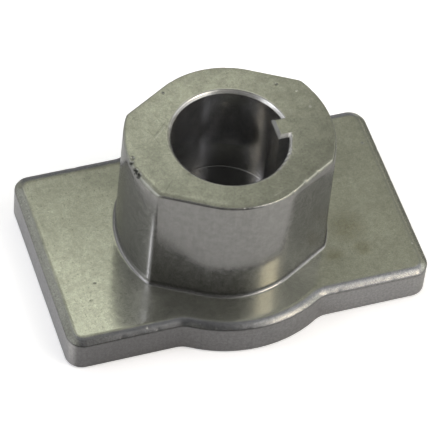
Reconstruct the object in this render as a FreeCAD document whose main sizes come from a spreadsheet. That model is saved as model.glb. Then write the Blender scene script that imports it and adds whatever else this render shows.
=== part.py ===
"""Mower blade adapter: one pressed metal piece with a keyed hub on a blade plate.

Millimetres, +Z up. The origin lies on the crankshaft axis, in the flat seat that the blade bolts
up against. X runs along the plate's long side, and the key stands on the +X side of the bore.
"""
import FreeCAD, Part
import math
import os
import Sketcher

NODE = "blade_adapter"

SIZES = {
    # Blade plate
    "plate_length": 72.2,
    "plate_width": 42.0,
    "plate_thickness": 7.6,
    "corner_radius": 3.3,
    # Round swelling in the middle of both long sides, centred on the bore
    "bulge_projection": 4.1,
    "bulge_blend": 5.1,
    # Rolled top edge of the plate: a sloped land, blended into the top, above a crisp arris
    "edge_run": 1.4,
    "edge_drop": 0.8,
    "edge_round": 3.4,
    "edge_break": 0.25,
    "seat_break": 0.3,
    # Hub: round at the front and back, four flats, and wider round ends towards +X and -X
    "total_height": 33.8,
    "hub_wall": 6.15,
    "hub_end_gain": 2.75,
    "flat_angle": 29.2,
    "hub_corner_radius": 1.8,
    "hub_draft": 0.7,
    "hub_top_round": 0.4,
    "hub_base_fillet": 0.65,
    # Keyed crankshaft bore with a closed floor
    "bore_diameter": 22.25,
    "floor_thickness": 11.5,
    "mouth_chamfer": 0.6,
    "key_width": 4.7,
    "key_height": 2.3,
    # Hole for the blade bolt
    "bolt_diameter": 10.0,
    "bolt_chamfer": 0.5,
}

# Nearness, in millimetres, within which an edge counts as lying in a plane or on a circle
NEAR = 0.01

START, END, CENTRE = 1, 2, 3
ORIGIN_POINT = (-1, START)
FULL_TURN = 360.0
HALF_TURN = 180.0
QUARTER_TURN = 90.0


def make_sheet(doc):
    """Puts every driving size in its own named cell."""
    sheet = doc.addObject("Spreadsheet::Sheet", "Sizes")
    for row, (name, value) in enumerate(SIZES.items(), start=1):
        sheet.set("A%d" % row, name)
        sheet.set("B%d" % row, str(value))
        sheet.setAlias("B%d" % row, name)
    doc.recompute()
    return sheet


def cell(name):
    return "Sizes." + name


def flat_point(radius, degrees, centre=(0.0, 0.0)):
    """The point at a radius and an angle round a centre in the sketch plane."""
    angle = math.radians(degrees)
    return FreeCAD.Vector(centre[0] + radius * math.cos(angle), centre[1] + radius * math.sin(angle), 0)


def arc_of(radius, first, last, centre=(0.0, 0.0)):
    """An arc between two angles in degrees, anticlockwise."""
    circle = Part.Circle(FreeCAD.Vector(centre[0], centre[1], 0), FreeCAD.Vector(0, 0, 1), radius)
    return Part.ArcOfCircle(circle, math.radians(first), math.radians(last))


def new_sketch(body, name, height=None):
    """A sketch parallel to the seat, lifted to the height that an expression gives."""
    sketch = body.newObject("Sketcher::SketchObject", name)
    seat = [plane for plane in body.Origin.OriginFeatures if plane.Role == "XY_Plane"][0]
    sketch.AttachmentSupport = [(seat, "")]
    sketch.MapMode = "FlatFace"
    if height:
        sketch.setExpression("AttachmentOffset.Base.z", height)
    return sketch


def drive(sketch, name, expression, *constraint):
    """Adds a sized constraint and ties it to the sheet."""
    index = sketch.addConstraint(Sketcher.Constraint(*constraint))
    sketch.renameConstraint(index, name)
    sketch.setExpression("Constraints." + name, expression)


def link(sketch, *constraint):
    sketch.addConstraint(Sketcher.Constraint(*constraint))


def pin_to_origin(sketch, arc):
    link(sketch, "Coincident", arc, CENTRE, *ORIGIN_POINT)


def add_feature(doc, body, kind, name, properties, expressions):
    """Adds one feature, sets it up and recomputes the body."""
    feature = body.newObject("PartDesign::" + kind, name)
    for key, value in properties.items():
        setattr(feature, key, value)
    for key, expression in expressions.items():
        feature.setExpression(key, expression)
    doc.recompute()
    return feature


def dress(doc, body, kind, name, test, expressions, **properties):
    """Adds a fillet or chamfer to the edges of the body's tip that pass a test."""
    base = body.Tip
    edges = ["Edge%d" % number for number, edge in enumerate(base.Shape.Edges, start=1) if test(edge)]
    if not edges:
        raise RuntimeError("no edge found for " + name)
    return add_feature(doc, body, kind, name, dict(Base=(base, edges), **properties), expressions)


def level(edge, height):
    """True for an edge that lies in the horizontal plane at a height."""
    box = edge.BoundBox
    return abs(box.ZMin - height) < NEAR and abs(box.ZMax - height) < NEAR


def upright(edge):
    """True for an edge that runs straight up."""
    box = edge.BoundBox
    return box.XLength < NEAR and box.YLength < NEAR


def reach(edge):
    """The greatest distance of an edge's sampled points from the bore axis."""
    samples = 5
    points = edge.discretize(samples)
    return max(math.hypot(point.x, point.y) for point in points)


def sketch_rectangle(body):
    """The plate's four straight sides."""
    sketch = new_sketch(body, "PlateOutline")
    half_length = SIZES["plate_length"] / 2
    half_width = SIZES["plate_width"] / 2
    corners = [FreeCAD.Vector(side * half_length, end * half_width, 0)
               for side, end in ((-1, -1), (1, -1), (1, 1), (-1, 1))]
    count = len(corners)
    for index in range(count):
        sketch.addGeometry(Part.LineSegment(corners[index], corners[(index + 1) % count]), False)
    for index in range(count):
        link(sketch, "Coincident", index, END, (index + 1) % count, START)
        link(sketch, "Vertical" if index % 2 else "Horizontal", index)
    link(sketch, "Symmetric", 0, START, 1, END, *ORIGIN_POINT)
    drive(sketch, "length", cell("plate_length"), "DistanceX", 0, START, 0, END, 2 * half_length)
    drive(sketch, "width", cell("plate_width"), "DistanceY", 1, START, 1, END, 2 * half_width)
    return sketch


def sketch_circle(body, name, radius, expression, height=None):
    """A circle round the bore axis."""
    sketch = new_sketch(body, name, height)
    sketch.addGeometry(Part.Circle(FreeCAD.Vector(), FreeCAD.Vector(0, 0, 1), radius), False)
    pin_to_origin(sketch, 0)
    drive(sketch, "radius", expression, "Radius", 0, radius)
    return sketch


def sketch_hub(body):
    """The hub's outline in its top plane: twelve arcs and flats, each tangent to the next."""
    sketch = new_sketch(body, "HubOutline", cell("total_height"))
    wall_radius = SIZES["bore_diameter"] / 2 + SIZES["hub_wall"]
    end_radius = wall_radius + SIZES["hub_end_gain"]
    corner = SIZES["hub_corner_radius"]
    slant = SIZES["flat_angle"]
    corner_distance = end_radius - corner
    # Angle of each corner's centre, from its distance to the flat's foot
    offset = math.degrees(math.acos((wall_radius - corner) / corner_distance))
    turn = QUARTER_TURN - slant - offset

    def corner_centre(degrees):
        point = flat_point(corner_distance, degrees)
        return (point.x, point.y)

    for half in (0.0, HALF_TURN):
        right = half + turn
        left = half + HALF_TURN - turn
        rise = half + QUARTER_TURN - slant
        fall = half + QUARTER_TURN + slant
        sketch.addGeometry(arc_of(end_radius, half - turn, right), False)
        sketch.addGeometry(arc_of(corner, right, rise, corner_centre(right)), False)
        start = flat_point(corner, rise, corner_centre(right))
        sketch.addGeometry(Part.LineSegment(start, flat_point(wall_radius, rise)), False)
        sketch.addGeometry(arc_of(wall_radius, rise, fall), False)
        end = flat_point(corner, fall, corner_centre(left))
        sketch.addGeometry(Part.LineSegment(flat_point(wall_radius, fall), end), False)
        sketch.addGeometry(arc_of(corner, fall, left, corner_centre(left)), False)

    count = sketch.GeometryCount
    half_count = count // 2
    end_arc, end_corner, first_flat, wall_arc, _, second_corner = range(half_count)
    for index in range(count):
        link(sketch, "Tangent", index, END, (index + 1) % count, START)
    for shift in (0, half_count):
        pin_to_origin(sketch, end_arc + shift)
        pin_to_origin(sketch, wall_arc + shift)
        link(sketch, "Horizontal", wall_arc + shift, START, wall_arc + shift, END)
    link(sketch, "Equal", end_arc, end_arc + half_count)
    link(sketch, "Equal", wall_arc, wall_arc + half_count)
    for index in (second_corner, end_corner + half_count, second_corner + half_count):
        link(sketch, "Equal", end_corner, index)
    link(sketch, "Parallel", first_flat, first_flat + half_count)
    hub_radius = "%s / 2 + %s" % (cell("bore_diameter"), cell("hub_wall"))
    drive(sketch, "wall_radius", hub_radius, "Radius", wall_arc, wall_radius)
    drive(sketch, "end_radius", hub_radius + " + " + cell("hub_end_gain"), "Radius", end_arc, end_radius)
    drive(sketch, "corner_radius", cell("hub_corner_radius"), "Radius", end_corner, corner)
    drive(sketch, "slant", "180 deg - %s * 1 deg" % cell("flat_angle"), "Angle", first_flat,
          math.radians(HALF_TURN - slant))
    return sketch


def sketch_bore(body):
    """The bore's outline in the hub's top plane: a circle with the key left standing at +X."""
    sketch = new_sketch(body, "BoreOutline", cell("total_height"))
    radius = SIZES["bore_diameter"] / 2
    half_key = SIZES["key_width"] / 2
    tip = radius - SIZES["key_height"]
    foot = math.degrees(math.asin(half_key / radius))
    corners = [flat_point(radius, -foot), FreeCAD.Vector(tip, -half_key, 0),
               FreeCAD.Vector(tip, half_key, 0), flat_point(radius, foot)]
    sketch.addGeometry(arc_of(radius, foot, FULL_TURN - foot), False)
    for first, last in zip(corners, corners[1:]):
        sketch.addGeometry(Part.LineSegment(first, last), False)
    count = sketch.GeometryCount
    wall, lower_side, face, upper_side = range(count)
    for index in range(count):
        link(sketch, "Coincident", index, END, (index + 1) % count, START)
    pin_to_origin(sketch, wall)
    link(sketch, "Horizontal", lower_side)
    link(sketch, "Vertical", face)
    link(sketch, "Horizontal", upper_side)
    link(sketch, "Vertical", wall, START, wall, END)
    bore_radius = cell("bore_diameter") + " / 2"
    drive(sketch, "radius", bore_radius, "Radius", wall, radius)
    drive(sketch, "key_width", cell("key_width"), "DistanceY", face, START, face, END, 2 * half_key)
    drive(sketch, "key_tip", "%s - %s" % (bore_radius, cell("key_height")),
          "DistanceX", *ORIGIN_POINT, face, START, tip)
    return sketch


def add_plate(doc, body):
    """The blade plate with its round swellings, corners and rolled top edge."""
    top = SIZES["plate_thickness"]
    half_width = SIZES["plate_width"] / 2
    half_length = SIZES["plate_length"] / 2
    thickness = {"Length": cell("plate_thickness")}
    add_feature(doc, body, "Pad", "Plate", {"Profile": sketch_rectangle(body)}, thickness)
    bulge_radius = half_width + SIZES["bulge_projection"]
    bulge_rule = "%s / 2 + %s" % (cell("plate_width"), cell("bulge_projection"))
    bulge = sketch_circle(body, "BulgeOutline", bulge_radius, bulge_rule)
    add_feature(doc, body, "Pad", "Bulge", {"Profile": bulge}, thickness)

    def outer_corner(edge):
        return upright(edge) and abs(reach(edge) - math.hypot(half_length, half_width)) < NEAR

    def inner_corner(edge):
        at_side = abs(abs(edge.CenterOfMass.y) - half_width) < NEAR
        return upright(edge) and at_side and abs(reach(edge) - bulge_radius) < NEAR

    dress(doc, body, "Fillet", "PlateCorners", outer_corner, {"Radius": cell("corner_radius")})
    dress(doc, body, "Fillet", "BulgeBlends", inner_corner, {"Radius": cell("bulge_blend")})
    dress(doc, body, "Chamfer", "EdgeLand", lambda edge: level(edge, top),
          {"Size": cell("edge_drop"), "Size2": cell("edge_run")}, ChamferType="Two distances")
    dress(doc, body, "Fillet", "EdgeRoll", lambda edge: level(edge, top), {"Radius": cell("edge_round")})
    arris = top - SIZES["edge_drop"]
    dress(doc, body, "Fillet", "EdgeArris", lambda edge: level(edge, arris), {"Radius": cell("edge_break")})
    dress(doc, body, "Chamfer", "SeatEdge", lambda edge: level(edge, 0.0), {"Size": cell("seat_break")})


def add_hub(doc, body):
    """The hub, drawn in its top plane and widening down to the plate."""
    top = SIZES["total_height"]
    plate_top = SIZES["plate_thickness"]
    rise = "%s - %s" % (cell("total_height"), cell("plate_thickness"))
    add_feature(doc, body, "Pad", "Hub", {"Profile": sketch_hub(body), "Reversed": True},
                {"Length": rise, "TaperAngle": cell("hub_draft")})
    drop = (top - plate_top) * math.tan(math.radians(SIZES["hub_draft"]))
    base_reach = SIZES["bore_diameter"] / 2 + SIZES["hub_wall"] + SIZES["hub_end_gain"] + drop

    def base_edge(edge):
        return level(edge, plate_top) and reach(edge) < base_reach + NEAR

    dress(doc, body, "Fillet", "HubBase", base_edge, {"Radius": cell("hub_base_fillet")})
    dress(doc, body, "Fillet", "HubTop", lambda edge: level(edge, top), {"Radius": cell("hub_top_round")})


def add_bore(doc, body):
    """The keyed bore, its chamfered mouth, and the bolt hole through its floor."""
    top = SIZES["total_height"]
    floor = SIZES["floor_thickness"]
    radius = SIZES["bore_diameter"] / 2
    add_feature(doc, body, "Pocket", "Bore", {"Profile": sketch_bore(body)},
                {"Length": "%s - %s" % (cell("total_height"), cell("floor_thickness"))})
    dress(doc, body, "Chamfer", "BoreMouth",
          lambda edge: level(edge, top) and reach(edge) < radius + NEAR, {"Size": cell("mouth_chamfer")})
    bolt_radius = SIZES["bolt_diameter"] / 2
    bolt = sketch_circle(body, "BoltOutline", bolt_radius, cell("bolt_diameter") + " / 2",
                         cell("floor_thickness"))
    add_feature(doc, body, "Pocket", "BoltHole", {"Profile": bolt}, {"Length": cell("floor_thickness")})

    def bolt_end(edge):
        at_end = level(edge, 0.0) or level(edge, floor)
        return at_end and abs(reach(edge) - bolt_radius) < NEAR

    dress(doc, body, "Chamfer", "BoltEnds", bolt_end, {"Size": cell("bolt_chamfer")})


def check(doc, body):
    """Stops the build if any object failed or the piece isn't one sound solid."""
    for item in doc.Objects:
        if "Invalid" in item.State or "Error" in item.State:
            raise RuntimeError("%s failed: %s" % (item.Name, item.State))
    shape = body.Shape
    if shape.isNull() or not shape.isValid() or len(shape.Solids) != 1:
        raise RuntimeError(body.Label + " is not one valid solid")


def main():
    doc = FreeCAD.newDocument("BladeAdapter")
    make_sheet(doc)
    body = doc.addObject("PartDesign::Body", "BladeAdapter")
    body.Label = NODE
    add_plate(doc, body)
    add_hub(doc, body)
    add_bore(doc, body)
    doc.recompute()
    check(doc, body)
    os.makedirs("parts", exist_ok=True)
    body.Shape.exportStep("parts/%s.step" % body.Label)
    print("%s: %.1f mm3, %d faces" % (body.Label, body.Shape.Volume, len(body.Shape.Faces)))


main()
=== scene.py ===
import math
from types import SimpleNamespace

import bmesh
import bpy
import numpy as np
from mathutils import Matrix, Vector, noise


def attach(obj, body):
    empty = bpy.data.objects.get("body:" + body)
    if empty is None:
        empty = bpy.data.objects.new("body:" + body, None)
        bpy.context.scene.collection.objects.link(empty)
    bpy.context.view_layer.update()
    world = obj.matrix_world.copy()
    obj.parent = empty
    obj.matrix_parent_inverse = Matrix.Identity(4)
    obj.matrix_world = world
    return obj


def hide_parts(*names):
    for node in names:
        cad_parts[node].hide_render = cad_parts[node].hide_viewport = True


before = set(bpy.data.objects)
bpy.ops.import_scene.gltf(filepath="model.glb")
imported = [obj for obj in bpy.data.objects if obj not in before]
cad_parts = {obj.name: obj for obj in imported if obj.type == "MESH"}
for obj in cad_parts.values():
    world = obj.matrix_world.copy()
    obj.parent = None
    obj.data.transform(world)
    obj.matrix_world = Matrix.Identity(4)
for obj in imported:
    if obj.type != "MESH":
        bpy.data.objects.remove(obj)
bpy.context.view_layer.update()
scene = bpy.context.scene

MM = 0.001
NODE = "blade_adapter"

# Sizes of the solid, in millimetres
PLATE_HALF_X, PLATE_HALF_Y, PLATE_TOP = 36.1, 21.0, 7.6
CORNER_R, BULGE_R, BLEND_R = 3.3, 25.1, 5.1
EDGE_RUN, EDGE_DROP, EDGE_ROUND, EDGE_BREAK, SEAT_BREAK = 1.4, 0.8, 3.4, 0.25, 0.3
EDGE_SLOPE = math.atan2(EDGE_DROP, EDGE_RUN)
HUB_TOP, HUB_R, HUB_END_R, HUB_CORNER_R = 33.8, 17.275, 20.025, 1.8
FLAT_ANGLE, HUB_DRAFT = math.radians(29.2), math.radians(0.7)
HUB_TOP_ROUND, HUB_BASE_FILLET = 0.4, 0.65
BORE_R, BORE_FLOOR, MOUTH = 11.125, 11.5, 0.6
MOUTH_R, MOUTH_FOOT = BORE_R + MOUTH, HUB_TOP - MOUTH
KEY_HALF, KEY_TIP = 2.35, 8.825
BOLT_R, BOLT_BREAK = 5.0, 0.5
FLOOR_FILLET = 0.15
# How far down the worn mouth chamfer is at half its width, as a share of its depth
MOUTH_BULGE = 0.40

# In the first quadrant, the direction where the hub's round end meets its corner, and the corner's middle
HUB_TURN = math.pi / 2 - FLAT_ANGLE - math.acos((HUB_R - HUB_CORNER_R) / (HUB_END_R - HUB_CORNER_R))
CORNER_MIDDLE = (HUB_TURN + math.pi / 2 - FLAT_ANGLE) / 2
HUB_CORNER = (
    (HUB_END_R - HUB_CORNER_R) * math.cos(HUB_TURN) + HUB_CORNER_R * math.cos(CORNER_MIDDLE),
    (HUB_END_R - HUB_CORNER_R) * math.sin(HUB_TURN) + HUB_CORNER_R * math.sin(CORNER_MIDDLE),
)

# Directions round the bore axis that every ring of the mesh has a point in
AROUND = 720
ANGLES = np.arange(AROUND) * 2.0 * math.pi / AROUND
# Steps from the middle of the key to the end of its face, and to its foot in the bore's wall
KEY_FACE_STEPS, KEY_FOOT_STEPS = 18, 30
# Insets from the plate's edge where its roll ends, and where the rings across the level top start
ROLL_END = EDGE_RUN + EDGE_ROUND * math.tan(EDGE_SLOPE / 2)
LEVEL_START = ROLL_END + 0.35
# Rings beside the hub's edges: out from the base fillet, down from the top round, and in from the top outline
FOOT_MARGIN = 0.3
BELOW_ROUND = (1.5, 1.0, 0.6, 0.3)
TOP_INSETS = (0.55, 0.75, 1.0, 1.35)
# Rings up the hub's wall: the first one's height over the base fillet, the last one's depth under the top
# round, and how many there are
WALL_START, WALL_END, WALL_RINGS = 0.5, 2.2, 12
# How far the hub top's last ring lies outside the mouth, and the floor's first ring inside the key's tip
NECK_MARGIN, TIP_MARGIN = 0.15, 0.8
# Where those rings have the points that follow the key: a share of its foot's angle, and an angle
NECK_FACE_SHARE, FLOOR_FOOT_ANGLE = 0.7, math.radians(22)
# A distance that no wear reaches
FAR = 1000.0


def ray_to_line(ray, normal, distance):
    """Where a ray from the axis meets a straight side, and the side's outward normal."""
    return ray * (distance / ray.dot(normal)), normal.copy()


def ray_to_arc(ray, centre, radius, hollow=False):
    """Where a ray from the axis meets an arc, and the arc's outward normal there."""
    along = ray.dot(centre)
    root = math.sqrt(along * along - centre.length_squared + radius * radius)
    point = ray * (along - root if hollow else along + root)
    normal = (centre - point if hollow else point - centre) / radius
    return point, normal


def plate_side(ray, angle):
    """The plate's outline in the first quadrant."""
    corner = Vector((PLATE_HALF_X - CORNER_R, PLATE_HALF_Y - CORNER_R))
    blend_y = PLATE_HALF_Y + BLEND_R
    blend = Vector((math.sqrt((BULGE_R + BLEND_R) ** 2 - blend_y ** 2), blend_y))
    if angle < math.atan2(corner.y, PLATE_HALF_X):
        return ray_to_line(ray, Vector((1.0, 0.0)), PLATE_HALF_X)
    if angle < math.atan2(PLATE_HALF_Y, corner.x):
        return ray_to_arc(ray, corner, CORNER_R)
    if angle < math.atan2(PLATE_HALF_Y, blend.x):
        return ray_to_line(ray, Vector((0.0, 1.0)), PLATE_HALF_Y)
    if angle < math.atan2(blend.y, blend.x):
        return ray_to_arc(ray, blend, BLEND_R, hollow=True)
    return ray * BULGE_R, ray.copy()


def hub_side(ray, angle):
    """The hub's outline in its top plane, in the first quadrant."""
    reach = HUB_END_R - HUB_CORNER_R
    slant = math.pi / 2 - FLAT_ANGLE
    corner = reach * Vector((math.cos(HUB_TURN), math.sin(HUB_TURN)))
    flat = Vector((math.cos(slant), math.sin(slant)))
    flat_end = corner + HUB_CORNER_R * flat
    if angle < HUB_TURN:
        return ray * HUB_END_R, ray.copy()
    if angle < math.atan2(flat_end.y, flat_end.x):
        return ray_to_arc(ray, corner, HUB_CORNER_R)
    if angle < slant:
        return ray_to_line(ray, flat, HUB_R)
    return ray * HUB_R, ray.copy()


def outline(side):
    """Points and outward normals of an outline that is the same in all four quadrants."""
    points, normals = np.zeros((AROUND, 2)), np.zeros((AROUND, 2))
    for index, angle in enumerate(ANGLES):
        c, s = math.cos(angle), math.sin(angle)
        ray = Vector((abs(c), abs(s)))
        point, normal = side(ray, math.atan2(ray.y, ray.x))
        sign = (math.copysign(1.0, c), math.copysign(1.0, s))
        points[index] = point.x * sign[0], point.y * sign[1]
        normals[index] = normal.x * sign[0], normal.y * sign[1]
    return points, normals


def bore_ring(widening):
    """The bore's keyed outline, with every side moved into the metal by a widening."""
    radius, half, tip = BORE_R + widening, KEY_HALF - widening, KEY_TIP + widening
    foot = math.asin(half / radius)
    foot_x = radius * math.cos(foot)
    points = np.zeros((AROUND, 2))
    for index in range(AROUND):
        step = index if index <= AROUND // 2 else index - AROUND
        side, step = math.copysign(1.0, step), abs(step)
        if step <= KEY_FACE_STEPS:
            x, y = tip, half * step / KEY_FACE_STEPS
        elif step <= KEY_FOOT_STEPS:
            share = (step - KEY_FACE_STEPS) / (KEY_FOOT_STEPS - KEY_FACE_STEPS)
            x, y = tip + (foot_x - tip) * share, half
        else:
            share = (step - KEY_FOOT_STEPS) / (AROUND // 2 - KEY_FOOT_STEPS)
            angle = foot + (math.pi - foot) * share
            x, y = radius * math.cos(angle), radius * math.sin(angle)
        points[index] = x, side * y
    return points


def circle_ring(radius):
    return radius * np.column_stack((np.cos(ANGLES), np.sin(ANGLES)))


def neck_ring(radius, face_angle, foot_angle):
    """A circle whose points crowd together beside the key, as the keyed outline's do."""
    steps = np.arange(AROUND)
    steps = np.where(steps <= AROUND // 2, steps, steps - AROUND)
    angles = np.interp(np.abs(steps), (0, KEY_FACE_STEPS, KEY_FOOT_STEPS, AROUND // 2),
                       (0.0, face_angle, foot_angle, math.pi))
    return radius * np.column_stack((np.cos(angles), np.sign(steps) * np.sin(angles)))


def arc_steps(first, last, count):
    """Even steps from one angle to another, with both."""
    return [first + (last - first) * step / count for step in range(count + 1)]


class Rings:
    """The closed sequence of rings that makes the skin, from the seat out, up, and down the bore."""

    def __init__(self):
        self.points, self.sharp = [], []
        self.plate, self.plate_out = outline(plate_side)
        self.hub, self.hub_out = outline(hub_side)
        # Distance of each ring from the edges that wear: the hub's top edge, and the plate's arris and roll
        self.hub_edge, self.arris, self.roll = [], [], []

    def add(self, flat, height, sharp=False, hub_edge=FAR, arris=FAR, roll=FAR):
        self.points.append(np.column_stack((flat, np.full(AROUND, height))))
        self.sharp.append(sharp)
        self.hub_edge.append(hub_edge)
        self.arris.append(arris)
        self.roll.append(roll)

    def across(self, first, last, height, shares):
        """Rings between two outlines in one level face, without the outlines themselves."""
        for share in shares:
            self.add(first + (last - first) * share, height)

    def plate_at(self, inset, height, sharp=False):
        arris = math.hypot(inset, height - PLATE_TOP + EDGE_DROP)
        roll = math.hypot(inset - EDGE_RUN, height - PLATE_TOP)
        self.add(self.plate - self.plate_out * inset, height, sharp, arris=arris, roll=roll)

    def hub_at(self, offset, height):
        distance = math.hypot(offset, height - HUB_TOP)
        self.add(self.hub + self.hub_out * offset, height, hub_edge=distance)


def hub_offset(height):
    """How far the drafted wall stands outside the hub's top outline."""
    return (HUB_TOP - height) * math.tan(HUB_DRAFT)


def even(count):
    """Shares that split a way evenly, without its ends."""
    return [(step + 1) / (count + 1) for step in range(count)]


def add_plate_rings(rings):
    """Out over the seat from the bolt hole, up the plate's wall and over its rolled edge."""
    arris = PLATE_TOP - EDGE_DROP
    seat = rings.plate - rings.plate_out * SEAT_BREAK
    bolt = circle_ring(BOLT_R + BOLT_BREAK)
    rings.add(bolt, 0.0, sharp=True)
    rings.across(bolt, seat, 0.0, even(4))
    rings.plate_at(SEAT_BREAK, 0.0, sharp=True)
    rings.plate_at(0.0, SEAT_BREAK, sharp=True)
    turn = math.pi / 2 - EDGE_SLOPE
    back = EDGE_BREAK * math.tan(turn / 2)
    for share in even(3):
        rings.plate_at(0.0, SEAT_BREAK + (arris - back - SEAT_BREAK) * share)
    # The arris, turning from the wall to the sloped land
    for angle in arc_steps(0.0, turn, 4):
        rings.plate_at(EDGE_BREAK * (1 - math.cos(angle)), arris - back + EDGE_BREAK * math.sin(angle))
    # The roll, turning from the land to the level top
    for angle in arc_steps(EDGE_SLOPE, 0.0, 8):
        inset = ROLL_END - EDGE_ROUND * math.sin(angle)
        rings.plate_at(inset, PLATE_TOP - EDGE_ROUND * (1 - math.cos(angle)))
    rings.plate_at(LEVEL_START, PLATE_TOP)


def add_hub_rings(rings):
    """In over the plate's top, up the hub, and in over its top to the mouth of the bore."""
    fillet = HUB_BASE_FILLET
    centre_z = PLATE_TOP + fillet
    centre = hub_offset(centre_z) + fillet / math.cos(HUB_DRAFT)
    plate = rings.plate - rings.plate_out * LEVEL_START
    base = rings.hub + rings.hub_out * (centre + FOOT_MARGIN)
    rings.across(plate, base, PLATE_TOP, even(15))
    rings.hub_at(centre + FOOT_MARGIN, PLATE_TOP)
    for angle in arc_steps(-math.pi / 2, -math.pi + HUB_DRAFT, 6):
        rings.hub_at(centre + fillet * math.cos(angle), centre_z + fillet * math.sin(angle))
    top_z = HUB_TOP - HUB_TOP_ROUND
    for height in np.linspace(centre_z + WALL_START, top_z - WALL_END, WALL_RINGS):
        rings.hub_at(hub_offset(height), height)
    for below in BELOW_ROUND:
        rings.hub_at(hub_offset(top_z - below), top_z - below)
    centre = hub_offset(top_z) - HUB_TOP_ROUND / math.cos(HUB_DRAFT)
    for angle in arc_steps(HUB_DRAFT, math.pi / 2, 6):
        rings.hub_at(centre + HUB_TOP_ROUND * math.cos(angle), top_z + HUB_TOP_ROUND * math.sin(angle))
    for inset in TOP_INSETS:
        rings.hub_at(-inset, HUB_TOP)
    neck_radius = MOUTH_R + NECK_MARGIN
    foot = math.asin((KEY_HALF - MOUTH) / neck_radius)
    neck = neck_ring(neck_radius, NECK_FACE_SHARE * foot, foot)
    rings.across(rings.hub - rings.hub_out * TOP_INSETS[-1], neck, HUB_TOP, even(9))
    rings.add(neck, HUB_TOP)


def add_bore_rings(rings):
    """Down the bore, in over its floor and down the bolt hole."""
    rings.add(bore_ring(MOUTH), HUB_TOP)
    rings.add(bore_ring(MOUTH / 2), HUB_TOP - MOUTH_BULGE * MOUTH)
    rings.add(bore_ring(0.0), MOUTH_FOOT, sharp=True)
    for share in even(9):
        rings.add(bore_ring(0.0), MOUTH_FOOT - (MOUTH_FOOT - BORE_FLOOR - FLOOR_FILLET) * share)
    for angle in arc_steps(0.0, math.pi / 2, 3):
        inward = FLOOR_FILLET * (1 - math.cos(angle))
        height = BORE_FLOOR + FLOOR_FILLET * (1 - math.sin(angle))
        rings.add(bore_ring(-inward), height, sharp=angle in (0.0, math.pi / 2))
    bolt = circle_ring(BOLT_R + BOLT_BREAK)
    front = neck_ring(KEY_TIP - TIP_MARGIN, math.atan2(KEY_HALF, KEY_TIP), FLOOR_FOOT_ANGLE)
    rings.add(front, BORE_FLOOR)
    rings.across(front, bolt, BORE_FLOOR, even(3))
    rings.add(bolt, BORE_FLOOR, sharp=True)
    rings.add(circle_ring(BOLT_R), BORE_FLOOR - BOLT_BREAK, sharp=True)
    for share in even(2):
        rings.add(circle_ring(BOLT_R), BORE_FLOOR - BOLT_BREAK - (BORE_FLOOR - 2 * BOLT_BREAK) * share)
    rings.add(circle_ring(BOLT_R), BOLT_BREAK, sharp=True)


# Nicks in the hub's top edge: polar angle in degrees, length and depth in millimetres
HUB_NICKS = (
    (183.6, 0.9, 0.30), (189.5, 0.9, 0.32), (192.7, 1.1, 0.36), (227.0, 0.9, 0.06), (247.0, 1.2, 0.04),
    (262.0, 1.0, 0.05), (296.0, 1.2, 0.06), (307.0, 1.6, 0.07), (318.0, 1.1, 0.05), (341.0, 1.2, 0.05),
    (21.0, 1.0, 0.07), (74.0, 1.2, 0.05), (112.0, 1.0, 0.06), (151.0, 1.1, 0.07), (166.0, 0.9, 0.06),
)
# Nicks in the plate's arris, in the same terms
ARRIS_NICKS = (
    (168.0, 1.6, 0.05), (186.0, 1.2, 0.06), (197.5, 1.8, 0.05), (207.8, 1.0, 0.10), (219.0, 1.0, 0.09),
    (222.5, 1.7, 0.05), (228.0, 0.8, 0.08), (236.5, 1.9, 0.04), (249.5, 1.5, 0.05), (257.0, 0.8, 0.08),
    (264.5, 1.8, 0.04), (281.5, 1.6, 0.04), (292.0, 0.9, 0.05), (302.5, 1.6, 0.04), (309.0, 1.0, 0.05),
    (316.5, 1.4, 0.03), (323.0, 0.8, 0.06), (333.5, 1.4, 0.03), (345.0, 1.1, 0.05), (4.0, 1.3, 0.05),
    (16.0, 1.0, 0.08), (28.5, 1.2, 0.06), (47.0, 1.5, 0.05), (81.0, 1.1, 0.06), (104.0, 1.4, 0.05),
    (138.0, 1.1, 0.07), (149.5, 1.3, 0.06),
)
# Nicks in the bore's mouth, in the same terms
MOUTH_NICKS = (
    (305.0, 1.0, 0.18), (312.5, 0.8, 0.25), (319.0, 1.2, 0.20), (326.0, 0.7, 0.28), (331.0, 0.9, 0.15),
    (153.0, 1.0, 0.10), (214.0, 1.2, 0.08), (262.0, 1.0, 0.08),
)
# How deep the hub's top edge is rounded off by handling: polar angle, depth
HUB_ROUNDING = (
    (0, 0.07), (30, 0.04), (60, 0.03), (120, 0.03), (150, 0.05), (176, 0.10), (188, 0.22), (201, 0.34),
    (213, 0.22), (222, 0.20), (270, 0.18), (290, 0.15), (308, 0.26), (334, 0.28), (346, 0.10), (360, 0.07),
)
# A burr on the hub's top edge: from and to in polar angle, height
BURR_FROM, BURR_TO, BURR = 277.0, 292.0, 0.10
# How far from an edge its wear is worked out, and over what distance each kind of wear dies away
WEAR_REACH = 2.5
ROUNDING_FALL, HUB_NICK_FALL, BURR_FALL = 0.90, 0.5, 0.45
ARRIS_NICK_FALL, ROLL_FALL = 0.4, 1.2
# Unevenness of the hub's top edge, and of the roll's rough front and wavy end: height, scale and seed
HUB_GRAIN = (0.018, 1.7, 3.0)
FRONT_GRAINS = ((0.009, 1.5, 7.0), (0.005, 3.1, 11.0))
END_WAVE = (0.040, 0.45, 19.0)
# Where the rough front and the wavy end are: middle and reach in polar angle
ROUGH_FRONT, WAVY_END = (318.0, 36.0), (180.0, 40.0)
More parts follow.
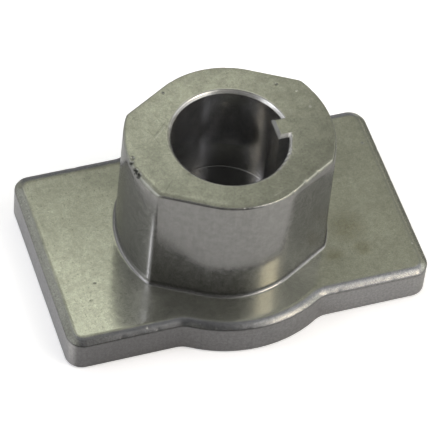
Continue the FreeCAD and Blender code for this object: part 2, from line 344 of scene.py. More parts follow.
# Small pits and pimples on the level faces: place, radius, and depth (negative where it stands up)
PITS = (
    (-19.14, -0.27, HUB_TOP, 0.50, 0.20), (12.39, 10.18, HUB_TOP, 0.48, 0.16),
    (17.35, 4.4, HUB_TOP, 0.42, 0.12), (-9.03, 13.38, HUB_TOP, 0.44, 0.14), (-16.2, 8.8, HUB_TOP, 0.35, 0.08),
    (15.7, 7.5, HUB_TOP, 0.36, -0.05), (16.75, 2.95, HUB_TOP, 0.42, -0.06),
    (-27.48, -7.64, PLATE_TOP, 0.28, 0.07), (-29.3, -11.4, PLATE_TOP, 0.30, 0.06),
    (-31.0, 10.8, PLATE_TOP, 0.30, 0.06), (27.6, 3.1, PLATE_TOP, 0.34, 0.07),
    (33.4, 12.0, PLATE_TOP, 0.42, 0.12), (24.8, 14.2, PLATE_TOP, 0.30, 0.05),
    (29.0, -15.2, PLATE_TOP, 0.34, 0.07),
)
# How far the finer mesh reaches past a pit
PIT_MARGIN = 0.35


def hump(away, reach):
    """One in the middle, and smoothly nothing at the reach and beyond."""
    share = np.clip(np.abs(away) / reach, 0.0, 1.0)
    return (1.0 - share ** 2) ** 2


def nick_depths(nicks, points):
    """How deep the nicks are at each point of a ring."""
    polar = np.degrees(np.arctan2(points[:, 1], points[:, 0]))
    radius = np.hypot(points[:, 0], points[:, 1])
    depth = np.zeros(len(points))
    for angle, length, deep in nicks:
        away = np.radians((polar - angle + 180.0) % 360.0 - 180.0) * radius
        depth = np.maximum(depth, deep * hump(away, length / 2))
    return depth


def unevenness(points, scale, seed):
    """A smooth noise at each point of a ring."""
    return np.array([noise.noise(Vector(p) * scale + Vector((seed, 0.0, 0.0))) for p in points])


def fall(distance, reach):
    """One on an edge, dying away with the distance from it."""
    return math.exp(-(distance / reach) ** 2)


def wear_hub_edge(rings):
    """Rounds off, nicks and roughens the hub's top edge, and leaves a burr on it."""
    degrees = np.degrees(ANGLES)
    rounding = np.interp(degrees, *zip(*HUB_ROUNDING))
    nicks = nick_depths(HUB_NICKS, rings.hub)
    burr = BURR * hump(degrees - (BURR_FROM + BURR_TO) / 2, (BURR_TO - BURR_FROM) / 2)
    height, scale, seed = HUB_GRAIN
    for points, away in zip(rings.points, rings.hub_edge):
        if away < WEAR_REACH:
            grain = unevenness(points, scale, seed)
            cut = rounding * fall(away, ROUNDING_FALL) + nicks * fall(away, HUB_NICK_FALL)
            cut += (height * grain - burr * (0.4 + 0.6 * np.abs(grain))) * fall(away, BURR_FALL)
            points[:, :2] -= rings.hub_out * (0.7 * cut)[:, None]
            points[:, 2] -= 0.7 * cut


def wear_plate_edge(rings):
    """Nicks the plate's arris and roughens the roll above it."""
    degrees = np.degrees(ANGLES)
    nicks = nick_depths(ARRIS_NICKS, rings.plate)
    # The roll is roughest along the front, on the side of the key, and wavy at the other end
    rough_front = 0.4 + 0.6 * hump(degrees - ROUGH_FRONT[0], ROUGH_FRONT[1])
    wavy_end = hump(degrees - WAVY_END[0], WAVY_END[1])
    layers = [(rough_front, *grain) for grain in FRONT_GRAINS] + [(wavy_end, *END_WAVE)]
    for points, arris, roll in zip(rings.points, rings.arris, rings.roll):
        if min(arris, roll) < WEAR_REACH:
            cut = nicks * fall(arris, ARRIS_NICK_FALL)
            for share, height, scale, seed in layers:
                cut += height * share * unevenness(points, scale, seed) * fall(roll, ROLL_FALL)
            points[:, :2] -= rings.plate_out * (0.5 * cut)[:, None]
            points[:, 2] -= 0.8 * cut


def wear_mouth(rings):
    """Nicks the outer half of the chamfer at the bore's mouth, but not the key."""
    for index, share in ((rings.bore_start, 1.0), (rings.bore_start + 1, 0.7)):
        points = rings.points[index]
        radius = np.hypot(points[:, 0], points[:, 1])
        round_part = radius > BORE_R - 0.2
        cut = nick_depths(MOUTH_NICKS, points) * round_part * share
        points[:, :2] += points[:, :2] / radius[:, None] * (0.5 * cut)[:, None]
        points[:, 2] -= 0.6 * cut


def press_pits(mesh):
    """Small pits and pimples, in patches of finer mesh on the level faces."""
    sheet = bmesh.new()
    sheet.from_mesh(mesh)
    for x, y, z, radius, depth in PITS:
        middle = Vector((x, y, z)) * MM
        reach = (radius + PIT_MARGIN) * MM
        near = [face for face in sheet.faces
                if (face.calc_center_median() - middle).length < reach + 0.5 * MM and face.normal.z > 0.9
                and any((v.co - middle).length < reach + 0.4 * MM for v in face.verts)]
        edges = list(dict.fromkeys(edge for face in near for edge in face.edges))
        bmesh.ops.subdivide_edges(sheet, edges=edges, cuts=3, use_grid_fill=True)
        for vert in sheet.verts:
            away = (vert.co - middle).length / MM
            if away < radius:
                vert.co.z -= depth * MM * float(hump(away, radius))
    sheet.to_mesh(mesh)
    sheet.free()


def skin_mesh(rings):
    """One closed mesh of quads through all the rings."""
    count = len(rings.points)
    corners = np.concatenate(rings.points) * MM
    ring, place = np.meshgrid(np.arange(count), np.arange(AROUND), indexing="ij")
    after, beside = (ring + 1) % count, (place + 1) % AROUND
    quads = np.stack((ring * AROUND + place, ring * AROUND + beside,
                      after * AROUND + beside, after * AROUND + place), axis=-1).reshape(-1, 4)
    mesh = bpy.data.meshes.new(NODE + "_skin")
    mesh.from_pydata(corners.tolist(), [], quads.tolist())
    return mesh


def mark_sharp(mesh, rings):
    """Marks the rings that are edges, and the key's upright edges."""
    first_bore = rings.bore_start
    steps = (KEY_FACE_STEPS, KEY_FOOT_STEPS)
    key_places = {s % AROUND for step in steps for s in (step, -step)}
    flags = np.zeros(len(mesh.edges), bool)
    ends = np.zeros(len(mesh.edges) * 2, np.int32)
    mesh.edges.foreach_get("vertices", ends)
    for index, (a, b) in enumerate(ends.reshape(-1, 2)):
        ring_a, ring_b = a // AROUND, b // AROUND
        if ring_a == ring_b:
            # The mouth's outer edge is worn smooth, apart from the key
            on_key = all(min(v % AROUND, AROUND - v % AROUND) <= KEY_FOOT_STEPS for v in (a, b))
            flags[index] = rings.sharp[ring_a] or (ring_a == first_bore and on_key)
        elif a % AROUND == b % AROUND and a % AROUND in key_places:
            flags[index] = first_bore <= min(ring_a, ring_b) and max(ring_a, ring_b) <= rings.bore_end
    attribute = mesh.attributes.new("sharp_edge", "BOOLEAN", "EDGE")
    attribute.data.foreach_set("value", flags)


def build_skin():
    """The skin that stands for the solid, with its wear."""
    rings = Rings()
    add_plate_rings(rings)
    add_hub_rings(rings)
    rings.bore_start = len(rings.points)
    add_bore_rings(rings)
    rings.bore_end = max(i for i, p in enumerate(rings.points) if abs(p[0, 0] - KEY_TIP) < 1e-6)
    wear_hub_edge(rings)
    wear_plate_edge(rings)
    wear_mouth(rings)
    mesh = skin_mesh(rings)
    mark_sharp(mesh, rings)
    press_pits(mesh)
    mesh.polygons.foreach_set("use_smooth", np.ones(len(mesh.polygons), bool))
    mesh.update()
    skin = bpy.data.objects.new(NODE + "_skin", mesh)
    scene.collection.objects.link(skin)
    weighted = skin.modifiers.new("even_normals", "WEIGHTED_NORMAL")
    weighted.keep_sharp = True
    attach(skin, "root")
    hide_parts(NODE)
    return skin


class Nodes:
    """Short ways to add the shader nodes that the finish is made of."""

    def __init__(self, tree):
        self.tree = tree

    def add(self, kind, inputs=(), **settings):
        node = self.tree.nodes.new("ShaderNode" + kind)
        for name, value in settings.items():
            setattr(node, name, value)
        for name, value in dict(inputs).items():
            self.put(node.inputs[name], value)
        return node

    def put(self, socket, value):
        if isinstance(value, bpy.types.NodeSocket):
            self.tree.links.new(value, socket)
        else:
            socket.default_value = value

    def math(self, operation, first, second=0.0):
        return self.add("Math", {0: first, 1: second}, operation=operation).outputs[0]

    def span(self, value, low, high, first=0.0, last=1.0):
        """Maps a value from low..high to first..last, smoothly and held at both ends."""
        inputs = {"Value": value, "From Min": low, "From Max": high, "To Min": first, "To Max": last}
        return self.add("MapRange", inputs, interpolation_type="SMOOTHSTEP").outputs["Result"]

    def fade(self, value, low, high):
        """One up to low, and smoothly nothing from high on."""
        return self.span(value, low, high, 1.0, 0.0)

    def vary(self, grain, first, last):
        """A noise as a factor between first and last."""
        return self.span(grain, 0.30, 0.70, first, last)

    def pores(self, haze, middle, lands, rough):
        """A roughness that switches between polished lands and rough pores at a level of the noise."""
        return self.span(haze, middle - 0.05, middle + 0.05, lands, rough)

    def times(self, *factors):
        """The product of some values."""
        product = factors[0]
        for factor in factors[1:]:
            product = self.math("MULTIPLY", product, factor)
        return product

    def length(self, first, second):
        return self.math("SQRT", self.math("ADD", self.times(first, first), self.times(second, second)))

    def spot(self, x, y, middle_x, middle_y, inner, outer):
        """A round patch about an upright axis."""
        away = self.length(self.math("SUBTRACT", x, middle_x), self.math("SUBTRACT", y, middle_y))
        return self.fade(away, inner, outer)

    def ball(self, place, middle, inner, outer):
        """A round patch of the surface about a place."""
        away = self.add("VectorMath", {0: place, 1: middle}, operation="DISTANCE").outputs["Value"]
        return self.fade(away, inner, outer)

    def most(self, masks):
        """The strongest of some masks."""
        masks = list(masks)
        strongest = masks[0]
        for mask in masks[1:]:
            strongest = self.math("MAXIMUM", strongest, mask)
        return strongest

    def stroke(self, x, y, line):
        """A thin straight line from one place to another on a level face."""
        start, end = Vector(line[:2]), Vector(line[2:])
        half, way = (end - start).length / 2, (end - start).normalized()
        middle = (start + end) / 2
        dx, dy = self.math("SUBTRACT", x, middle.x), self.math("SUBTRACT", y, middle.y)
        along = self.math("ADD", self.times(dx, way.x), self.times(dy, way.y))
        across = self.math("SUBTRACT", self.times(dy, way.x), self.times(dx, way.y))
        ends = self.fade(self.math("ABSOLUTE", along), half * 0.6, half)
        return self.times(ends, self.fade(self.math("ABSOLUTE", across), 0.05, 0.16))

    def mix(self, share, first, second):
        return self.add("Mix", {0: share, 2: first, 3: second}, data_type="FLOAT").outputs[0]

    def blend(self, share, first, second, how="MIX"):
        node = self.add("Mix", {0: share, 6: first, 7: second}, data_type="RGBA", blend_type=how)
        return node.outputs[2]

    def stretch(self, vector, scale):
        return self.add("Mapping", {"Vector": vector, "Scale": scale}).outputs["Vector"]

    def grain(self, vector, scale, detail, rough=0.5):
        inputs = {"Vector": vector, "Scale": scale, "Detail": detail, "Roughness": rough}
        return self.add("TexNoise", inputs).outputs["Fac"]


# Colours of the metal on each face and in its marks, and of its sheen at a glancing angle. The walls, hub and
# roll have darker copies of the tops' colour: painted shade.
TOP_COLOUR = (0.300, 0.307, 0.276, 1.0)
WALL_COLOUR = (0.218, 0.217, 0.217, 1.0)
HUB_COLOUR = (0.280, 0.280, 0.272, 1.0)
ROLL_COLOUR = (0.212, 0.217, 0.230, 1.0)
BORE_COLOUR = (0.34, 0.34, 0.342, 1.0)
MOUTH_COLOUR = (0.58, 0.58, 0.57, 1.0)
BURNISHED_AND_HIGHLIGHT_COLOUR = (0.46, 0.46, 0.45, 1.0)
# A painted highlight down the hub's corners away from the key
CORNER_HIGHLIGHT_COLOUR = (0.62, 0.61, 0.65, 1.0)
STAIN_COLOUR = (0.208, 0.202, 0.163, 1.0)
EDGE_TINT = (0.8, 0.8, 0.8, 1.0)
# Stains on the plate: place, inner and outer radius
STAINS = ((23.4, -6.9, 0.3, 5.2), (24.6, -12.7, 0.2, 2.6), (18.8, -13.0, 0.2, 2.6))
# Dirt held in pits, notches and dents: place, radius, and how dark it is
DIRT = (
    (-19.11, -0.2, HUB_TOP, 0.50, 0.5), (-19.8, -1.25, 33.5, 0.65, 1.0), (-19.55, -3.27, 33.5, 0.75, 1.0),
    (-19.3, -4.35, 33.5, 0.75, 1.0), (12.39, 10.18, HUB_TOP, 0.40, 0.5), (17.39, 4.36, HUB_TOP, 0.35, 0.35),
    (-9.03, 13.38, HUB_TOP, 0.40, 0.35), (3.33, 12.1, HUB_TOP, 0.35, 0.35),
    (-27.48, -7.64, PLATE_TOP, 0.22, 0.7), (34.56, 12.25, PLATE_TOP, 0.35, 0.35),
    (29.2, -21.0, 2.66, 0.30, 0.4), (-17.4, -10.6, 18.7, 0.35, 0.8),
)
# Spots that handling has burnished, and first a painted highlight on the bore's floor: place and radius
BURNISHED_AND_HIGHLIGHT_SPOTS = (
    (8.6, 6.2, BORE_FLOOR, 2.4), (11.2, -2.6, HUB_TOP, 0.50), (15.66, 7.56, HUB_TOP, 0.35),
    (16.9, 3.3, HUB_TOP, 0.45), (34.49, -14.01, PLATE_TOP, 0.3), (-20.96, -20.03, 7.3, 0.35),
    (-19.16, -21.0, 7.0, 0.3), (-2.8, -24.9, 7.2, 0.35),
)
# Scratches on the level faces, light and dark: from, to
SCRATCHES = (
    (-34.44, 18.7, -34.3, 14.8), (-34.2, -16.4, -33.9, -18.8), (3.0, -15.6, 6.6, -14.2),
    (-14.3, 2.6, -10.6, 5.9),
)
DARK_SCRATCHES = (
    (-14.6, 6.4, -13.0, 0.6), (-10.2, 6.9, -14.3, 3.2), (-12.3, 9.4, -11.3, 5.7), (-13.1, -6.6, -15.9, -9.7),
)


def places(n):
    """Where a point of the surface lies, in millimetres, and which way it faces."""
    source = n.add("TexCoord").outputs
    place = n.stretch(source["Object"], (1 / MM, 1 / MM, 1 / MM))
    x, y, z = n.add("SeparateXYZ", {0: place}).outputs
    facing_x, facing_y, rise = n.add("SeparateXYZ", {0: source["Normal"]}).outputs
    return SimpleNamespace(place=place, x=x, y=y, z=z, from_axis=n.length(x, y),
                           facing_x=facing_x, facing_y=facing_y, rise=rise)


def grains(n, place):
    """Noise of several sizes, from the pores between polished lands to broad clouds."""
    return SimpleNamespace(
        haze=n.grain(place, 40.0, 1.0),
        fine=n.grain(place, 4.0, 3.0, 0.7),
        grit=n.grain(place, 1.9, 4.0, 0.75),
        coarse=n.grain(place, 0.8, 4.0, 0.6),
        blotch=n.grain(place, 0.4, 3.0, 0.6),
        cloud=n.grain(place, 0.16, 3.0),
        drawn=n.grain(n.stretch(place, (1.0, 1.0, 0.02)), 3.0, 3.0, 0.6),
    )


def corner_highlight_mask(n, at, on_hub):
    """The hub's upright corners away from the key, on their end side and low down, where a lighter bluish
    colour paints their highlight.
    """
    corner_x, corner_y = HUB_CORNER
    from_corner = n.length(n.math("SUBTRACT", n.math("ABSOLUTE", at.x), corner_x),
                           n.math("SUBTRACT", n.math("ABSOLUTE", at.y), corner_y))
    end_side = n.fade(n.math("ABSOLUTE", at.facing_y), 0.66, 0.78)
    return n.times(n.fade(from_corner, 0.5, 1.2), n.fade(at.z, 17.0, 31.0), on_hub,
                   n.fade(at.x, -2.0, 2.0), end_side)


def rubbed_mask(n, at):
    """The hub's top edge, rubbed dull at both ends."""
    ends = n.math("MAXIMUM", n.span(at.x, 1.0, 5.0), n.fade(at.x, -17.0, -15.6))
    return n.times(n.span(at.rise, 0.12, 0.35), n.span(at.z, HUB_TOP - 1.0, HUB_TOP - 0.6),
                   n.span(at.from_axis, 13.0, 14.0), ends)


def face_masks(n, at):
    """Which face of the part a point is on."""
    level = n.span(at.rise, 0.93, 0.99)
    on_hub = n.span(at.z, PLATE_TOP + 1.0, PLATE_TOP + 1.4)
    inside = n.fade(at.from_axis, MOUTH_R + 0.025, MOUTH_R + 0.075)
    sloped_mouth = n.math("SUBTRACT", n.span(at.z, MOUTH_FOOT - 0.1, MOUTH_FOOT), n.span(at.rise, 0.8, 0.9))
    return SimpleNamespace(
        level=level,
        on_hub=on_hub,
        on_plate=n.fade(at.z, PLATE_TOP + 0.4, PLATE_TOP + 0.8),
        hub_top=n.times(level, n.span(at.z, HUB_TOP - 0.8, HUB_TOP - 0.5)),
        inside=inside,
        in_mouth=n.times(inside, sloped_mouth),
        in_bore=n.times(inside, n.fade(at.z, MOUTH_FOOT - 0.1, MOUTH_FOOT)),
        rolled=n.times(n.span(at.rise, 0.70, 0.84), n.fade(at.rise, 0.96, 0.995),
                       n.fade(at.z, PLATE_TOP, PLATE_TOP + 0.04)),
        at_end=n.math("MAXIMUM", n.fade(at.facing_x, -0.35, -0.15), n.span(at.facing_x, 0.15, 0.35)),
        front_left=n.spot(at.x, at.y, -34.8, -19.6, 1.5, 10.0),
        corner=corner_highlight_mask(n, at, on_hub),
        rubbed=rubbed_mask(n, at),
    )


def pinholes(n, at, face):
    """Pinholes scattered over the level faces, deepest on the plate's end away from the key."""
    holes = n.add("TexVoronoi", {"Vector": at.place, "Scale": 0.9}, voronoi_dimensions="2D").outputs
    chosen = n.span(n.add("SeparateXYZ", {0: holes["Color"]}).outputs[0], 0.66, 0.74)
    depth = n.mix(face.hub_top, n.span(at.x, -12.0, 12.0, 0.42, 0.26), 0.30)
    return n.times(n.fade(holes["Distance"], 0.06, 0.20), chosen, face.level, depth)


def soil_mask(n, at, face):
    """Dirt with uneven edges, dark scratches and pinholes."""
    warp = n.add("TexNoise", {"Vector": at.place, "Scale": 1.3, "Detail": 2.0}).outputs["Color"]
    warp = n.add("VectorMath", {0: warp, 1: (0.5, 0.5, 0.5)}, operation="SUBTRACT").outputs[0]
    shifted = {0: warp, 1: (1.2, 1.2, 1.2), 2: at.place}
    astray = n.add("VectorMath", shifted, operation="MULTIPLY_ADD").outputs[0]
    dark_marks = n.most(n.times(n.ball(astray, middle, 0.3 * radius, 1.2 * radius), dark)
                  for *middle, radius, dark in DIRT)
    furrow = n.times(n.most(n.stroke(at.x, at.y, line) for line in DARK_SCRATCHES), face.hub_top, 0.3)
    return n.most((dark_marks, furrow, pinholes(n, at, face)))


def shine_and_highlight_mask(n, at, grain):
    """Light scratches, the rim of the bore's mouth beside the key, burnished spots, and a painted highlight
    on the bore's floor.
    """
    broken = n.times(n.span(at.rise, 0.8, 0.9), n.span(grain.fine, 0.35, 0.55))
    scratch = n.times(n.most(n.stroke(at.x, at.y, line) for line in SCRATCHES), broken, 0.6)
    rim = n.times(n.span(at.from_axis, MOUTH_R - 0.225, MOUTH_R - 0.025),
                  n.fade(at.from_axis, MOUTH_R + 0.125, MOUTH_R + 0.275),
                  n.fade(at.x, 10.0, 11.0), n.span(at.z, HUB_TOP - 0.2, HUB_TOP - 0.1), 0.5)
    spots = n.most(n.ball(at.place, middle, 0.4 * radius, radius) for *middle, radius in BURNISHED_AND_HIGHLIGHT_SPOTS)
    return n.most((scratch, rim, spots))


def metal_colour(n, at, grain, face):
    """The metal's colour on each face, before its tone."""
    stain = n.times(n.most(n.spot(at.x, at.y, *spot) for spot in STAINS),
                    n.span(grain.coarse, 0.30, 0.65, 0.20, 1.0), face.on_plate, face.level)
    chamfer = n.times(face.in_mouth, n.span(at.from_axis, BORE_R - 0.225, BORE_R - 0.025))
    colour = n.blend(face.on_hub, WALL_COLOUR, HUB_COLOUR)
    colour = n.blend(face.level, colour, TOP_COLOUR)
    colour = n.blend(face.rubbed, colour, TOP_COLOUR)
    colour = n.blend(stain, colour, STAIN_COLOUR)
    colour = n.blend(face.rolled, colour, n.blend(face.at_end, ROLL_COLOUR, TOP_COLOUR))
    colour = n.blend(face.in_bore, colour, BORE_COLOUR)
    colour = n.blend(chamfer, colour, MOUTH_COLOUR)
    # Painted highlight down the hub's corners away from the key
    colour = n.blend(face.corner, colour, CORNER_HIGHLIGHT_COLOUR)
    return n.blend(shine_and_highlight_mask(n, at, grain), colour, BURNISHED_AND_HIGHLIGHT_COLOUR)


def top_tone_and_painted_light(n, at, grain, face):
    """How light the level faces are: a random speckle and mottle, with painted light and shade on the hub's
    top and round the hub on the plate.
    """
    speckle = n.mix(face.hub_top, n.vary(grain.fine, 1.14, 0.86), n.vary(grain.fine, 1.07, 0.93))
    mottle = n.mix(face.hub_top, n.vary(grain.coarse, 0.92, 1.08), n.vary(grain.grit, 0.88, 1.12))
    patch = n.mix(face.hub_top, n.vary(grain.cloud, 0.94, 1.06), n.span(grain.blotch, 0.35, 0.65, 0.90, 1.08))
    # Painted light on the hub's top: lighter towards the back, and darker towards both ends
    ends = n.math("MINIMUM", n.span(at.x, 6.0, 19.0, 1.0, 0.90), n.span(at.x, -19.0, -6.0, 0.81, 1.0))
    hub = n.times(n.span(at.y, -16.0, 15.0, 0.78, 1.24), ends)
    # Painted shade and light on the plate: darker behind the hub on the left, and lighter towards the front
    # on the right, most of all beside the hub
    left = n.span(n.spot(at.x, at.y, -16.5, 19.5, 3.0, 10.5), 0.0, 1.0, 1.03, 0.83)
    around = n.span(at.y, -6.0, 8.0, 1.10, 1.0)
    right = n.span(n.spot(at.x, at.y, 12.5, -13.6, 1.0, 5.5), 0.0, 1.0, around, 1.30)
    plate = n.mix(n.span(at.x, -4.0, 4.0), left, right)
    return n.times(speckle, mottle, patch, n.mix(face.hub_top, plate, hub))


def arris_dark_band(n, at, grit):
    """Painted shade: a darker band just under the plate's arris, wider and broken on the side of the key."""
    arris = PLATE_TOP - EDGE_DROP
    key_side = n.span(at.x, 8.0, 22.0)
    from_band = n.math("ABSOLUTE", n.math("SUBTRACT", at.z, n.mix(key_side, arris - 0.1, arris - 0.35)))
    band = n.fade(from_band, 0.08, n.mix(key_side, 0.28, 0.50))
    broken = n.mix(key_side, 1.0, n.span(grit, 0.44, 0.56, 0.25, 1.6))
    return n.times(band, n.span(at.from_axis, 12.0, 13.0), broken)


def wall_tone_and_painted_light(n, at, grain, face):
    """How light the upright faces and the plate's roll are: a random mottle and drawn lines, with painted
    light and shade.
    """
    mottle = n.mix(face.on_hub, n.vary(grain.grit, 0.84, 1.16), n.vary(grain.coarse, 0.91, 1.09))
    # Painted shade along the plate's arris
    dark_marks = n.span(arris_dark_band(n, at, grain.grit), 0.0, 1.6, 1.0, 0.55)
    # Painted light: the plate's end away from the key is the lightest, and its other walls lighten towards
    # the key
    plate = n.mix(n.fade(at.facing_x, -0.9, -0.5), n.span(at.x, -16.0, 26.0, 0.86, 1.56), 2.06)
    # Painted light and shade: the hub's front is lightest towards the key and high up, and the flat beside it
    # darkens upwards
    front = n.times(n.span(at.facing_x, -0.1, 0.3, 1.0, 1.10), n.span(at.z, 10.0, 17.0, 0.91, 1.02))
    hub = n.mix(n.span(at.facing_x, 0.38, 0.50), front, n.span(at.z, 12.0, 24.0, 0.98, 0.80))
    # Painted shade on the plate's roll: darker along front and back, more so towards the key, darker at the
    # key's end, and darker again at the front-left corner
    roll = n.mix(face.at_end, n.span(at.x, -4.0, 12.0, 0.78, 0.62), n.span(at.x, -10.0, 10.0, 1.0, 0.82))
    roll = n.times(roll, n.vary(grain.fine, 0.86, 1.14), n.span(face.front_left, 0.0, 1.0, 1.0, 0.84))
    return n.times(n.vary(grain.drawn, 0.97, 1.03), mottle, n.vary(grain.fine, 0.96, 1.04), dark_marks,
                   n.mix(face.on_hub, plate, n.mix(face.inside, hub, 1.0)), n.mix(face.rolled, 1.0, roll))


def bore_painted_shade(n, at, face):
    """Painted shade in the bore: darkest on its floor and low on its wall, and darker in their corner away
    from the key.
    """
    wall = n.times(n.span(at.z, 13.0, 27.0, 0.95, 1.70), n.span(at.x, 3.0, 9.0, 1.0, 1.08))
    corner = n.span(at.z, BORE_FLOOR + 0.1, BORE_FLOOR + 0.5, n.span(at.x, 0.0, 7.0, 0.45, 1.0), 1.0)
    return n.mix(face.level, n.times(wall, corner), 0.56)


def metal_tone_and_painted_light(n, at, grain, face):
    """The factor that lightens or darkens the metal's colour: random mottle, dirt, and painted light and
    shade.
    """
    outside = n.mix(face.level, wall_tone_and_painted_light(n, at, grain, face), top_tone_and_painted_light(n, at, grain, face))
    soil = n.span(soil_mask(n, at, face), 0.0, 1.0, 1.0, 0.15)
    return n.times(outside, n.mix(face.in_bore, 1.0, bore_painted_shade(n, at, face)), soil)


def metal_roughness(n, at, grain, face):
    """Polished lands with rough pores between them, on each face."""
    dull_spot = n.times(n.spot(at.x, at.y, -19.4, -13.6, 1.0, 4.5), face.on_plate, 0.12)
    top = n.math("ADD", n.pores(grain.haze, 0.52, 0.15, 0.64), n.times(face.hub_top, 0.05))
    top = n.math("ADD", top, dull_spot)
    hub_lands = n.span(grain.coarse, 0.35, 0.65, 0.13, 0.21)
    wall = n.pores(grain.haze, 0.56, n.mix(face.on_hub, 0.14, hub_lands), 0.58)
    wall = n.mix(face.corner, wall, 0.16)
    wall = n.mix(face.in_mouth, wall, n.pores(grain.haze, 0.56, 0.22, 0.58))
    wall = n.mix(face.rolled, wall, n.pores(grain.haze, 0.54, n.mix(face.front_left, 0.25, 0.52), 0.58))
    wall = n.mix(face.rubbed, wall, n.pores(grain.haze, 0.52, 0.34, 0.62))
    bore = n.pores(grain.haze, 0.58, n.span(at.x, -4.0, 4.0, 0.24, 0.14), 0.53)
    return n.mix(face.in_bore, n.mix(face.level, wall, top), bore)


def metal_bump(n, grain, face):
    """A faint unevenness: drawn lines on the walls, and a fine lumpiness on the level faces."""
    lumps = n.math("ADD", grain.coarse, n.times(grain.fine, 0.3))
    height = n.mix(face.level, n.times(grain.drawn, 0.2), lumps)
    return n.add("Bump", {"Height": height, "Strength": 0.06, "Distance": 0.02 * MM}).outputs["Normal"]


def metal():
    """The finish of the whole part."""
    material = bpy.data.materials.new("pressed_metal_finish")
    material.use_nodes = True
    shader = material.node_tree.nodes["Principled BSDF"]
    shader.inputs["Metallic"].default_value = 1.0
    shader.inputs["Specular Tint"].default_value = EDGE_TINT
    n = Nodes(material.node_tree)
    at = places(n)
    grain = grains(n, at.place)
    face = face_masks(n, at)
    colour = metal_colour(n, at, grain, face)
    tone = metal_tone_and_painted_light(n, at, grain, face)
    n.put(shader.inputs["Base Color"], n.blend(1.0, colour, tone, "MULTIPLY"))
    n.put(shader.inputs["Roughness"], metal_roughness(n, at, grain, face))
    n.put(shader.inputs["Normal"], metal_bump(n, grain, face))
    return material


# The photo's camera: azimuth, elevation and roll in radians; distance, shift to the right and shift up in
# millimetres; focal length and picture width in pixels
CAMERA_TURNS = (-0.3996, 0.9026, 0.1133)
CAMERA_SHIFTS = (628.404, 0.0624, 5.6908)
FOCAL_LENGTH, PICTURE_WIDTH = 3227.878, 436.0
SENSOR_WIDTH = 36.0

# The studio, with lengths in metres
WORLD_STRENGTH = 0.72
FLOOR_COLOUR, FLOOR_HALF, FLOOR_HEIGHT = (0.87, 0.87, 0.90), 3.0, -0.00005
# How much the floor glows for the camera, and in reflections
FLOOR_LIFT, MIRRORED_LIFT = 0.40, 0.04
LAMP_DISTANCE, CARD_DISTANCE, CARD_STEPS = 0.40, 0.46, 8
# Cards: name, azimuths and elevations in degrees, colour
CARDS = (
    ("front_card", (198, 287), (0, 78), (0.22, 0.22, 0.22)),
    ("ceiling_card", (0, 360), (80, 90), (0.35, 0.35, 0.35)),
    ("right_card", (330, 412), (0, 17.5), (0.2, 0.2, 0.2)),
    ("back_card", (8, 118), (18, 78), (0.85, 0.86, 0.725)),
)
# Soft boxes: name, azimuth and elevation in degrees, width and height, radiance, colour
LAMPS = (
    ("right_box", (316, 56), (0.13, 0.19), 2.3, (1.0, 0.96, 0.88)),
    ("right_core", (317, 49), (0.095, 0.075), 9.6, (1.0, 0.84, 0.58)),
    ("mouth_light", (299, 39), (0.11, 0.07), 0.9, (1.0, 1.0, 1.0)),
    ("left_mouth_light", (190, 39), (0.10, 0.06), 1.1, (1.0, 1.0, 1.0)),
    ("right_low_box", (308, 18), (0.18, 0.14), 1.4, (1.0, 0.97, 0.9)),
    ("right_panel", (352, 48), (0.24, 0.24), 0.7, (1.0, 1.0, 0.97)),
    ("left_strip", (175, 50), (0.04, 0.18), 6.2, (0.95, 0.93, 1.0)),
    ("left_low_box", (192, 22), (0.18, 0.2), 1.0, (1.0, 1.0, 1.0)),
    ("left_panel", (142, 50), (0.24, 0.26), 0.35, (1.0, 1.0, 1.0)),
    ("back_halo", (92, 58), (0.22, 0.2), 0.35, (1.0, 1.02, 0.85)),
    ("back_box", (80, 60), (0.08, 0.08), 1.9, (1.0, 1.02, 0.85)),
)


def add_camera():
    """The photo's camera, which looks at a point a little beside the frame's origin."""
    azimuth, elevation, roll = CAMERA_TURNS
    distance, shift_right, shift_up = CAMERA_SHIFTS
    back = Vector((
        math.sin(azimuth) * math.cos(elevation),
        -math.cos(azimuth) * math.cos(elevation),
        math.sin(elevation),
    ))
    level = Vector((math.cos(azimuth), math.sin(azimuth), 0.0))
    upright = back.cross(level)
    right = math.cos(roll) * level + math.sin(roll) * upright
    up = -math.sin(roll) * level + math.cos(roll) * upright
    place = (distance * back + shift_right * right + shift_up * up) * MM
    data = bpy.data.cameras.new("camera")
    data.sensor_width = SENSOR_WIDTH
    data.lens = SENSOR_WIDTH * FOCAL_LENGTH / PICTURE_WIDTH
    data.clip_start, data.clip_end = 0.01, 50.0
    camera = bpy.data.objects.new("camera", data)
    turn = Matrix((right, up, back)).transposed().to_4x4()
    camera.matrix_world = Matrix.Translation(place) @ turn
    scene.collection.objects.link(camera)
    scene.camera = camera


def add_world():
    """An even white surround."""
    world = bpy.data.worlds.new("studio")
    world.use_nodes = True
    background = world.node_tree.nodes["Background"]
    background.inputs["Color"].default_value = (1.0, 1.0, 1.0, 1.0)
    background.inputs["Strength"].default_value = WORLD_STRENGTH
    scene.world = world


def stage_sheet(name, rows, material):
    """A sheet of the studio through rows of points. It isn't part of the object."""
    width = len(rows[0])
    faces = [(r * width + c, r * width + c + 1, (r + 1) * width + c + 1, (r + 1) * width + c)
             for r in range(len(rows) - 1) for c in range(width - 1)]
    mesh = bpy.data.meshes.new(name)
    mesh.from_pydata([point for row in rows for point in row], [], faces)
    mesh.materials.append(material)
    sheet = bpy.data.objects.new(name, mesh)
    scene.collection.objects.link(sheet)
    return sheet


def matt_material(name, colour):
    """A plain dull surface for the studio."""
    material = bpy.data.materials.new(name)
    material.use_nodes = True
    shader = material.node_tree.nodes["Principled BSDF"]
    shader.inputs["Base Color"].default_value = (*colour, 1.0)
    shader.inputs["Roughness"].default_value = 0.9
    shader.inputs["Specular IOR Level"].default_value = 0.0
    return material


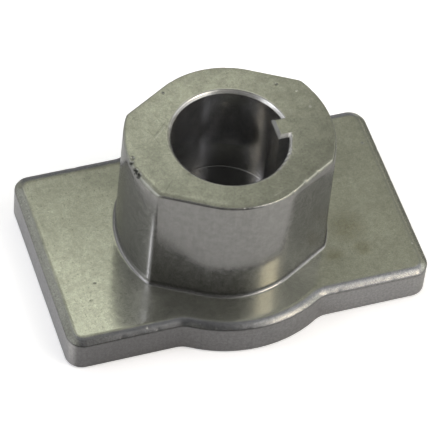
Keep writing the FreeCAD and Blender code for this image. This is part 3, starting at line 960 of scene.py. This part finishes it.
def add_floor():
    """A white table that keeps the part's shadow."""
    material = matt_material("floor_white", FLOOR_COLOUR)
    shader, out = (material.node_tree.nodes[name] for name in ("Principled BSDF", "Material Output"))
    n = Nodes(material.node_tree)
    path = n.add("LightPath").outputs
    mirrored = n.times(path["Is Glossy Ray"], MIRRORED_LIFT)
    lift = n.add("Math", {0: path["Is Camera Ray"], 1: FLOOR_LIFT, 2: mirrored}, operation="MULTIPLY_ADD")
    glow = n.add("Emission", {"Strength": lift.outputs[0]})
    both = n.add("AddShader", {0: shader.outputs[0], 1: glow.outputs[0]})
    n.put(out.inputs["Surface"], both.outputs[0])
    half, low = FLOOR_HALF, FLOOR_HEIGHT
    stage_sheet("floor", [[(-half, -half, low), (half, -half, low)], [(-half, half, low), (half, half, low)]],
                material)


def aimed(distance, azimuth, elevation):
    """A place in the studio, from its distance to the part and its direction in degrees."""
    turn, rise = math.radians(azimuth), math.radians(elevation)
    level = distance * math.cos(rise)
    return Vector((level * math.cos(turn), level * math.sin(turn), distance * math.sin(rise)))


def add_card(name, azimuths, elevations, colour):
    """A curved studio card round the part, which the camera looks through."""
    rows = [[aimed(CARD_DISTANCE, azimuth, elevation) for azimuth in np.linspace(*azimuths, CARD_STEPS)]
            for elevation in np.linspace(*elevations, CARD_STEPS)]
    card = stage_sheet(name, rows, matt_material(name, colour))
    card.visible_camera = False


def add_lamp(name, direction, size, radiance, colour):
    """A soft box that looks at the part."""
    data = bpy.data.lights.new(name, "AREA")
    data.shape = "RECTANGLE"
    data.size, data.size_y = size
    data.energy = radiance * math.pi * size[0] * size[1]
    data.color = colour
    lamp = bpy.data.objects.new(name, data)
    lamp.location = aimed(LAMP_DISTANCE, *direction)
    lamp.rotation_mode = "QUATERNION"
    lamp.rotation_quaternion = (-lamp.location).to_track_quat("-Z", "Y")
    scene.collection.objects.link(lamp)


skin = build_skin()
skin.data.materials.append(metal())
add_camera()
add_world()
add_floor()
for card in CARDS:
    add_card(*card)
for lamp in LAMPS:
    add_lamp(*lamp)

scene.view_settings.view_transform = "Standard"
